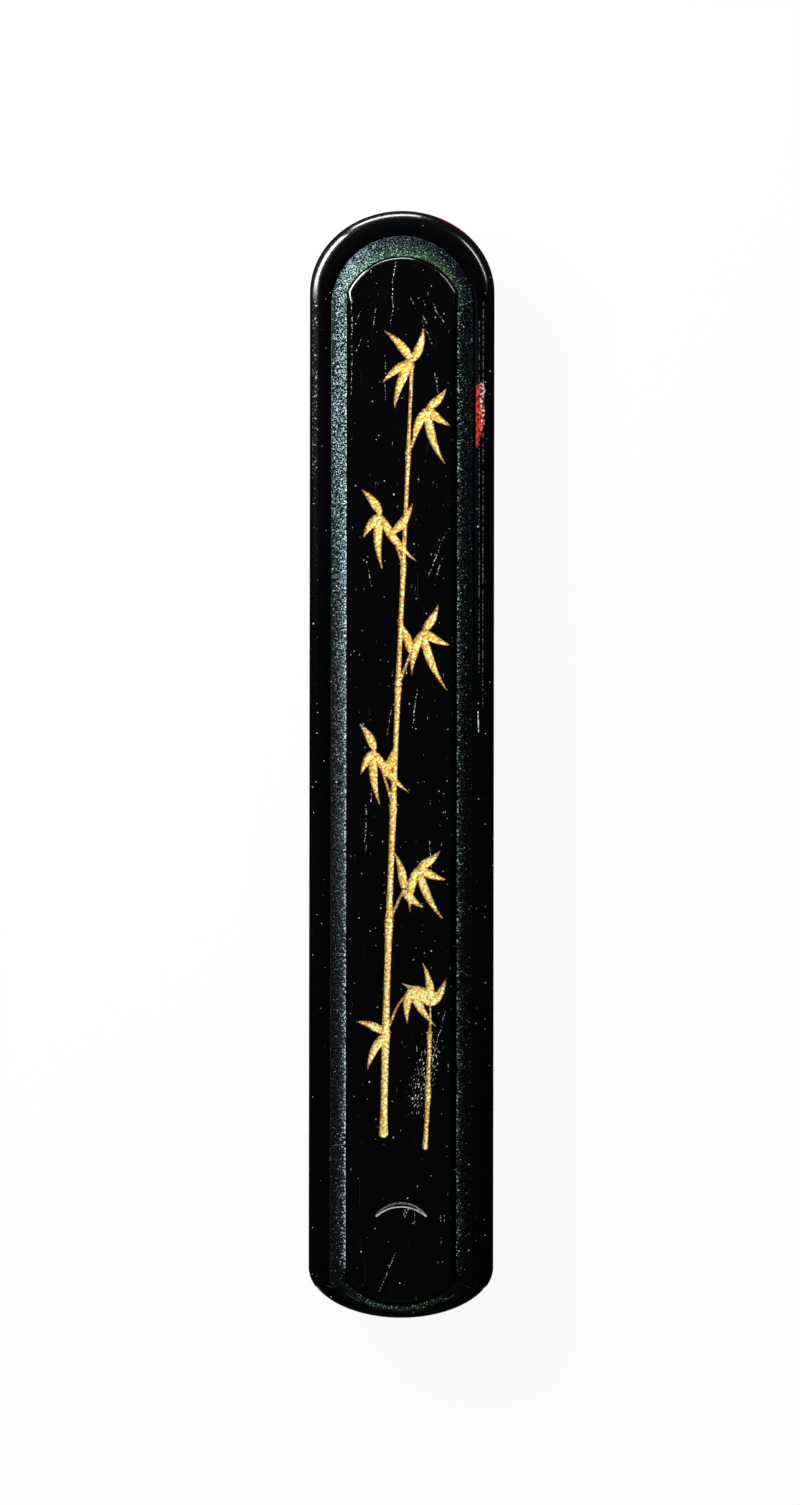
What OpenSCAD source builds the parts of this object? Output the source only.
// Pen box with an arched head and a fielded sliding lid.
// Millimetres. +Y runs to the arched head, +Z is up, and the origin is under the middle of the floor.

/* [Box] */
// Overall length, from the tip of the head to the tip of the tail
box_l = 240; // [180:1:300]
// Overall width across the side walls
box_w = 40; // [36:1:52]
// Thickness of the floor board
floor_t = 3.5; // [3:0.1:6]
// Depth of the pen well, from the floor to the groove
well_depth = 15; // [13:0.5:24]
// Radius of the edge round the underside
base_round = 0.8; // [0.3:0.1:1.5]

/* [Walls] */
// Thickness of the side walls
wall_t = 4.5; // [4.2:0.1:6]
// Thickness of the head behind the crown of the lid
head_t = 5.4; // [4.8:0.1:8]
// Height of the lip above the groove
lip_h = 1.6; // [1.5:0.1:3]
// Width of the crowned outer part of the walls' top
rim_w = 3; // [2:0.1:3]
// Fall of the crowned part to the outer edge
rim_drop = 0.9; // [0.4:0.1:1.4]
// Radius of the inner edge along the top of the walls
lip_round = 0.9; // [0.3:0.1:1.1]

/* [Ends] */
// Rise of the arched head beyond the straight sides
head_rise = 17.8; // [14:0.1:20]
// Rise of the flatter tail beyond the straight sides
tail_rise = 11.2; // [9:0.1:13]
// Length of the lid's end beyond the walls
tail_cover = 7; // [5:0.5:9]
// Length of the tail block's plug between the walls
plug_l = 6; // [5:0.5:12]

/* [Lid] */
// Thickness of the tongue that runs in the groove
tongue_t = 2.2; // [1.6:0.1:3]
// Depth of the tongue in the groove
tongue_d = 2; // [1.2:0.1:2.2]
// Height of the lid's edge above the tongue
edge_h = 1.6; // [1.3:0.1:2.4]
// Width of the bevel along the sides
bevel_w = 3.5; // [2:0.1:5]
// Width of the bevel at the crown of the head
bevel_head_w = 4.7; // [3:0.1:6]
// Width of the bevel at the tip of the tail
bevel_tail_w = 3; // [2:0.1:5]
// Rise of the bevel, from the lid's edge to the foot of the field
bevel_h = 1.2; // [0.6:0.1:2.5]
// Height of the field's shoulder
field_h = 1; // [0.9:0.1:2]
// Radius of the field's shoulder
field_round = 0.9; // [0.3:0.1:0.9]
// Rise of the field's arc at the head
field_head_rise = 7.5; // [5:0.1:9]
// Rise of the field's arc at the tail
field_tail_rise = 5.3; // [4:0.1:8]
// Width of the flat edge round the lid's tail
tail_flat = 0.4; // [0.3:0.1:0.8]
// Radius of the lid's upper edge round the tail
tail_round = 1.2; // [0.6:0.1:1.2]

/* [Thumb notch] */
// Width of the notch
notch_w = 11; // [8:0.5:14]
// Rise of the notch's arc
notch_rise = 2.6; // [1.5:0.1:3.5]
// Width of the notch at its middle
notch_t = 0.9; // [0.6:0.1:1.2]
// Depth of the notch
notch_depth = 1; // [0.6:0.1:1.6]
// Distance of the notch from the tip of the tail
notch_from_tail = 25; // [20:1:45]

/* [Dowels] */
// Diameter of the dowels
dowel_d = 2; // [1.6:0.1:2.4]
// Length of a head dowel
head_dowel_l = 12; // [8:1:20]
// Length of a tail dowel
tail_dowel_l = 6; // [4:0.5:6]
// Length of a floor dowel
floor_dowel_l = 7; // [5:0.5:9]
// Depth of a floor dowel in the floor
floor_dowel_sunk = 2.2; // [1.2:0.1:2.4]
// Floor dowels along each wall
wall_dowels = 5; // [3:1:8]
// Distance of the outer dowels from the ends of what they hold
dowel_inset = 4; // [3:0.5:6]

/* [Fits] */
// Gap above and below the lid's tongue
slide_gap = 0.15; // [0.1:0.05:0.4]
// Gap at the edges of the lid
edge_gap = 0.25; // [0.2:0.05:0.5]
// Gap round a dowel in its hole
dowel_gap = 0.05; // [0.03:0.01:0.1]

/* [Hidden] */
$fn = 96;

lacquer = [0.07, 0.07, 0.08];
bamboo = [0.78, 0.65, 0.42];
over = 1;
skin = 0.01;
bevel_sunk = 0.3;
ear_sunk = 0.05;

half_l = box_l / 2;
half_w = box_w / 2;
lip_x = half_w - wall_t;
wall_mid_x = half_w - wall_t / 2;

// Heights
groove_z = floor_t + well_depth;
groove_h = tongue_t + 2 * slide_gap;
box_h = groove_z + groove_h + lip_h;
lid_z = groove_z + slide_gap;
tongue_z = lid_z + tongue_t;
bevel_z = tongue_z + edge_h;
foot_z = bevel_z + bevel_h;
field_z = foot_z + field_h;

// Places along the box
head_spring_y = half_l - head_rise;
tail_spring_y = tail_rise - half_l;
nose_y = half_l - head_t - lip_x;
head_joint_y = min(nose_y, head_spring_y);
wall_end_y = tail_cover - half_l;
plug_y = wall_end_y + plug_l;
field_head_y = half_l - head_t - bevel_head_w;
field_tail_y = bevel_tail_w - half_l;

// Dowels
hole_r = dowel_d / 2 + dowel_gap;
dowel_zs = [floor_t + dowel_inset, groove_z - dowel_inset];
floor_rows_y = [
    for (i = [0 : wall_dowels - 1])
        let (first = plug_y + dowel_inset, last = head_joint_y - head_dowel_l)
        first + (last - first) * i / (wall_dowels - 1)
];

// Radius of the arc that stands on a chord with a given rise
function arc_r(chord, rise) = (pow(chord / 2, 2) + pow(rise, 2)) / (2 * rise);

// The whole box in plan: straight sides with half an ellipse on each end
module outline() {
    translate([-half_w, tail_spring_y])
        square([box_w, head_spring_y - tail_spring_y]);
    translate([0, head_spring_y])
        scale([1, head_rise / half_w])
            circle(half_w);
    translate([0, tail_spring_y])
        scale([1, tail_rise / half_w])
            circle(half_w);
}

// Turns a profile through half a circle of a given radius. The profile's X runs outward from there.
module turned(r) {
    rotate_extrude(angle = 180)
        intersection() {
            translate([r, 0])
                children();
            translate([0, -over])
                square([box_w, box_h + 2 * over]);
        }
}

// Carries a profile along both sides of a straight stretch
module along_sides(x, y0, y1) {
    for (side = [0, 1])
        mirror([side, 0, 0])
            translate([x, y1, 0])
                rotate([90, 0, 0])
                    linear_extrude(y1 - y0)
                        children();
}

// Carries a profile round the whole outline
module along_outline() {
    translate([0, head_spring_y, 0])
        scale([1, head_rise / half_w, 1])
            turned(half_w)
                children();
    translate([0, tail_spring_y, 0])
        mirror([0, 1, 0])
            scale([1, tail_rise / half_w, 1])
                turned(half_w)
                    children();
    along_sides(half_w, tail_spring_y, head_spring_y)
        children();
}

// What a rounding plane takes off a corner whose faces lie at X = 0 and Y = 0
module corner_waste(r) {
    difference() {
        translate([-r, -r])
            square(r + over);
        translate([-r, -r])
            circle(r);
    }
}

// What a crowning plane takes off a corner: an arc that leaves the top level and falls to the side
module crown_waste(w, drop) {
    r = arc_r(2 * w, drop);
    difference() {
        translate([-w, -drop])
            square([w + over, drop + over]);
        translate([-w, -r])
            circle(r);
    }
}

// A flat board of the whole outline
module board(z, t) {
    along_outline()
        translate([-half_w - over, z])
            square([half_w + over, t]);
}

// Keeps the part of a shape between two places along the box
module between(y0, y1) {
    intersection() {
        children();
        translate([-box_w, y0, -over])
            cube([2 * box_w, y1 - y0, box_h + 2 * over]);
    }
}

// Section of the wall, with the outer part of its top crowned
module wall_section() {
    depth = head_t + over;
    difference() {
        translate([-depth, floor_t])
            square([depth, box_h - floor_t]);
        translate([0, box_h])
            crown_waste(rim_w, rim_drop);
    }
}

// Section of the hollow at the lip: the well, the groove and the rounded edge of the lip
module hollow_section() {
    translate([-lip_x - over, floor_t - over])
        square([lip_x + over, box_h]);
    translate([-over, groove_z])
        square([over + tongue_d + edge_gap, groove_h]);
    translate([0, box_h])
        mirror([1, 0])
            corner_waste(lip_round);
}

// The well and the lid's way, with a round end at the head and an open end at the tail
module hollow() {
    translate([0, nose_y, 0])
        turned(lip_x)
            hollow_section();
    along_sides(lip_x, -half_l - over, nose_y)
        hollow_section();
}

// Dowel groups, drawn with a radius so that the same places serve the dowels and their holes
module head_dowel_row(r) {
    for (side = [-1, 1], z = dowel_zs)
        translate([side * wall_mid_x, head_joint_y + head_dowel_l / 2, z])
            rotate([90, 0, 0])
                cylinder(h = head_dowel_l, r = r);
}

module tail_dowel_row(r) {
    for (side = [-1, 1], z = dowel_zs)
        translate([side * lip_x - tail_dowel_l / 2, plug_y - plug_l / 2, z])
            rotate([0, 90, 0])
                cylinder(h = tail_dowel_l, r = r);
}

module floor_dowel_row(r) {
    places = concat(
        [for (side = [-1, 1], y = floor_rows_y) [side * wall_mid_x, y]],
        [[0, half_l - head_t / 2]],
        [for (side = [-1, 1]) [side * lip_x / 2, wall_end_y]]
    );
    for (place = places)
        translate([place[0], place[1], floor_t - floor_dowel_sunk])
            cylinder(h = floor_dowel_l, r = r);
}

module all_dowel_holes() {
    head_dowel_row(hole_r);
    tail_dowel_row(hole_r);
    floor_dowel_row(hole_r);
}

// Section of the floor board, with its lower edge rounded
module floor_section() {
    difference() {
        translate([-half_w - over, 0])
            square([half_w + over, floor_t]);
        mirror([0, 1])
            corner_waste(base_round);
    }
}

module floor_board() {
    color(lacquer)
        difference() {
            along_outline()
                floor_section();
            floor_dowel_row(hole_r);
        }
}

// The wall all round the box, before it is cut into pieces
module wall_ring() {
    difference() {
        along_outline()
            wall_section();
        hollow();
        all_dowel_holes();
    }
}

module right_wall() {
    color(lacquer)
        between(wall_end_y, head_joint_y)
            intersection() {
                wall_ring();
                translate([0, -box_l, 0])
                    cube([box_w, 2 * box_l, 2 * box_h]);
            }
}

module left_wall() {
    mirror([1, 0, 0])
        right_wall();
}

module head_block() {
    color(lacquer)
        between(head_joint_y, box_l)
            wall_ring();
}

// Full width beyond the walls, with a plug that fits between them
module tail_block() {
    color(lacquer)
        difference() {
            union() {
                between(-box_l, wall_end_y)
                    board(floor_t, well_depth);
                translate([-lip_x, wall_end_y, floor_t])
                    cube([2 * lip_x, plug_l, well_depth]);
            }
            all_dowel_holes();
        }
}

// The flat plate of the lid: the tongue with its round nose, and the full-width tail
module lid_plate() {
    tail_y = wall_end_y - edge_gap;
    tongue_x = lip_x + tongue_d;
    between(-box_l, tail_y)
        board(lid_z, tongue_t);
    translate([-tongue_x, tail_y, lid_z])
        cube([2 * tongue_x, nose_y - tail_y, tongue_t]);
    translate([0, nose_y, lid_z])
        rotate_extrude(angle = 180)
            square([tongue_x, tongue_t]);
}

// The part of the lid between the lips in plan, kept in from the tail's outline
module panel_plan(tail_inset) {
    edge_x = lip_x - edge_gap;
    intersection() {
        offset(delta = -tail_inset)
            outline();
        union() {
            translate([-edge_x, -half_l])
                square([2 * edge_x, nose_y + half_l]);
            translate([0, nose_y])
                circle(edge_x);
        }
    }
}

// The raised field in plan: straight sides with an arc on each end
module field_plan() {
    field_w = 2 * (lip_x - bevel_w);
    head_r = arc_r(field_w, field_head_rise);
    tail_r = arc_r(field_w, field_tail_rise);
    intersection() {
        translate([-field_w / 2, field_tail_y])
            square([field_w, field_head_y - field_tail_y]);
        union() {
            translate([-field_w / 2, field_tail_y + field_tail_rise])
                square([field_w, field_head_y - field_head_rise - field_tail_y - field_tail_rise]);
            translate([0, field_head_y - head_r])
                circle(head_r);
            translate([0, field_tail_y + tail_r])
                circle(tail_r);
        }
    }
}

// The field with its rounded shoulder, rooted in the tongue
module field_body() {
    hull() {
        translate([0, 0, bevel_z - bevel_sunk])
            linear_extrude(skin)
                field_plan();
        for (a = [0 : 18 : 90])
            translate([0, 0, field_z - skin - field_round * (1 - sin(a))])
                linear_extrude(skin)
                    offset(delta = -field_round * (1 - cos(a)))
                        field_plan();
    }
}

// Section of the lid's full-width end, with its upper edge rounded
module ear_section() {
    depth = half_w + over;
    top_z = bevel_z - ear_sunk;
    translate([-tail_flat, 0])
        difference() {
            translate([-depth, tongue_z - bevel_sunk])
                square([depth, top_z - tongue_z + bevel_sunk]);
            translate([0, top_z])
                corner_waste(tail_round);
        }
}

// Ends of the lid beyond the walls, kept a little below the slope between them
module ears() {
    inner_x = lip_x - edge_gap - bevel_sunk;
    between(-box_l, wall_end_y - edge_gap)
        difference() {
            along_outline()
                ear_section();
            translate([-inner_x, -box_l, 0])
                cube([2 * inner_x, 2 * box_l, 2 * box_h]);
        }
}

// The lid's upright edge and its slope, which runs on a little into the field
module bevel_body() {
    slope = bevel_h / (bevel_w - edge_gap);
    hull() {
        translate([0, 0, tongue_z - bevel_sunk])
            linear_extrude(skin)
                panel_plan(tail_flat);
        for (a = [0 : 30 : 90])
            translate([0, 0, bevel_z - skin - tail_round * (1 - sin(a))])
                linear_extrude(skin)
                    panel_plan(tail_flat + tail_round * (1 - cos(a)));
        translate([0, 0, foot_z + bevel_sunk])
            linear_extrude(skin)
                offset(delta = -bevel_sunk / slope)
                    field_plan();
    }
}

// Crescent between two arcs on one chord, as a thumb-nail gouge leaves it
module notch_waste() {
    outer_r = arc_r(notch_w, notch_rise);
    inner_r = arc_r(notch_w, notch_rise - notch_t);
    translate([0, notch_from_tail - half_l, field_z - notch_depth])
        linear_extrude(notch_depth + over)
            difference() {
                translate([0, -outer_r])
                    circle(outer_r);
                translate([0, -notch_t - inner_r])
                    circle(inner_r);
            }
}

module lid() {
    color(lacquer)
        difference() {
            union() {
                lid_plate();
                ears();
                bevel_body();
                field_body();
            }
            notch_waste();
        }
}

module head_dowels() {
    color(bamboo)
        head_dowel_row(dowel_d / 2);
}

module tail_dowels() {
    color(bamboo)
        tail_dowel_row(dowel_d / 2);
}

module floor_dowels() {
    color(bamboo)
        floor_dowel_row(dowel_d / 2);
}

floor_board();
left_wall();
right_wall();
head_block();
tail_block();
lid();
head_dowels();
tail_dowels();
floor_dowels();
